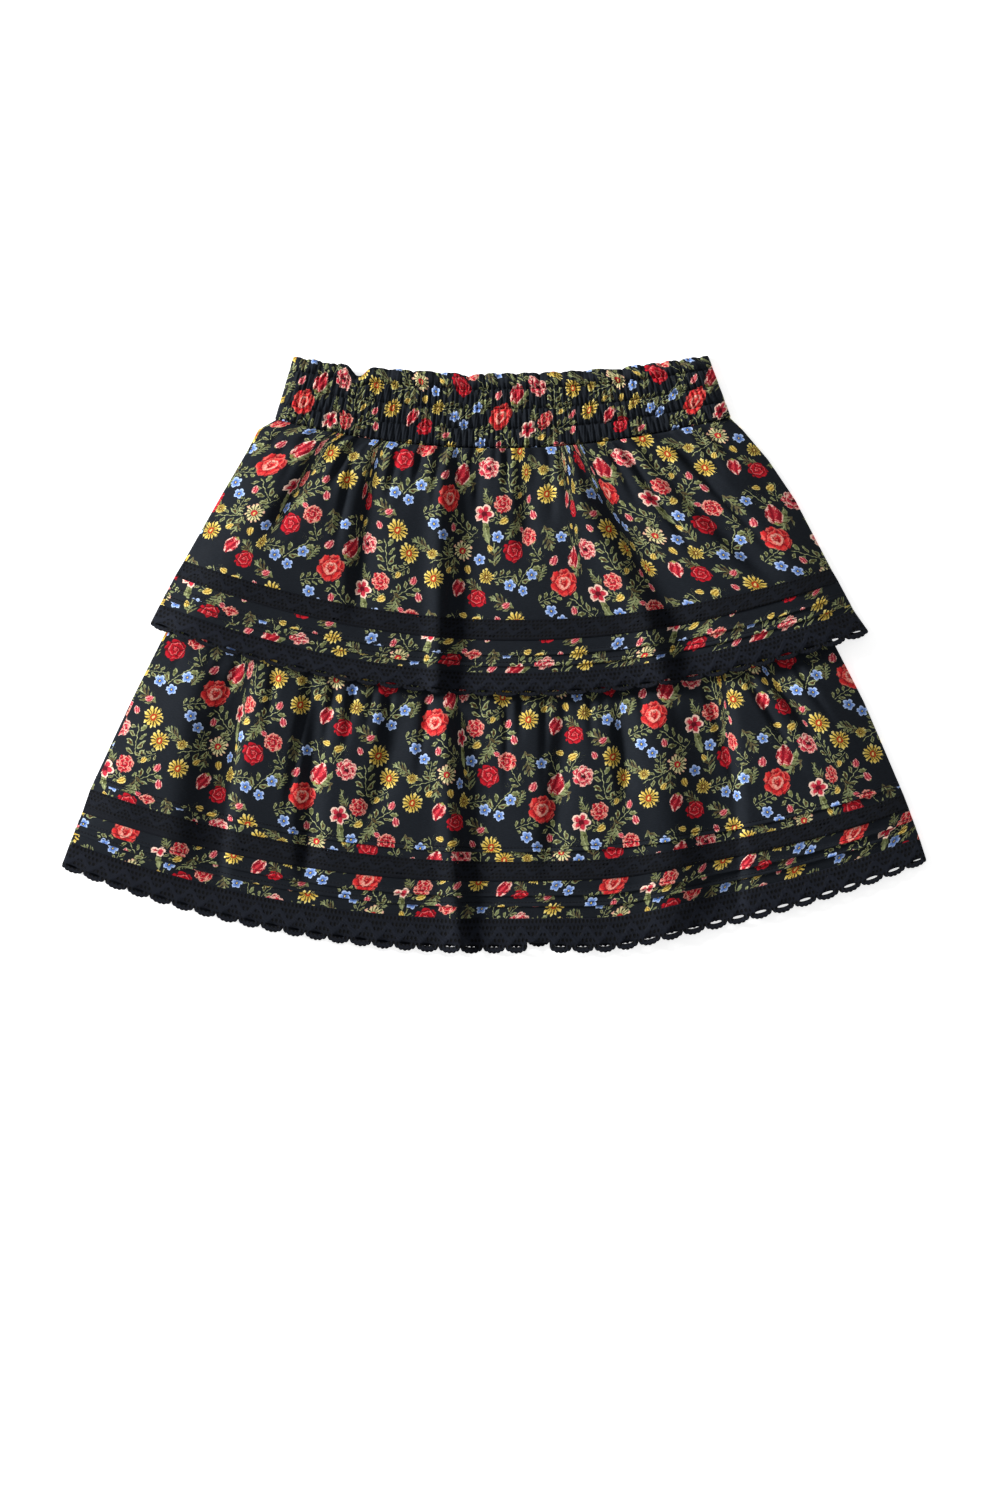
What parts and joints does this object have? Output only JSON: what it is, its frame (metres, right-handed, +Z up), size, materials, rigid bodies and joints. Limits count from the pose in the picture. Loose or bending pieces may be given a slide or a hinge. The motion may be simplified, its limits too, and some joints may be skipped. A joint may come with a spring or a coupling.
{
  "type": "skort",
  "caption": "Short skort of gathered tiers with a shirred waistband, pin-tucks, insertion lace and scalloped lace hems, laid flat.",
  "frame": {"origin": "middle of the garment on the surface that it lies on, under the middle of its bounding box", "axes": "+X across the garment to the right of its front in the view from above, +Y from the hem to the waist, +Z up from the surface"},
  "size_m": [0.6056, 0.418, 0.0169],
  "materials": {
    "printed_cotton": "matt woven cotton, near-black navy with a small floral print",
    "cotton_lace": "matt navy cotton lace",
    "shorts_cloth": "matt plain dark cotton"
  },
  "bodies": {
    "root": {"waistband_front": "printed_cotton", "waistband_back": "printed_cotton", "upper_tier_front": "printed_cotton", "upper_tier_back": "printed_cotton", "upper_insertion_front": "cotton_lace", "upper_insertion_back": "cotton_lace", "upper_tuck_band_front": "printed_cotton", "upper_tuck_band_back": "printed_cotton", "upper_lace_edge_front": "cotton_lace", "upper_lace_edge_back": "cotton_lace", "lower_tier_front": "printed_cotton", "lower_tier_back": "printed_cotton", "lower_insertion_front": "cotton_lace", "lower_insertion_back": "cotton_lace", "lower_tuck_band_front": "printed_cotton", "lower_tuck_band_back": "printed_cotton", "lower_lace_edge_front": "cotton_lace", "lower_lace_edge_back": "cotton_lace", "shorts_left_front": "shorts_cloth", "shorts_right_front": "shorts_cloth", "shorts_left_back": "shorts_cloth", "shorts_right_back": "shorts_cloth"}
  },
  "joints": []
}
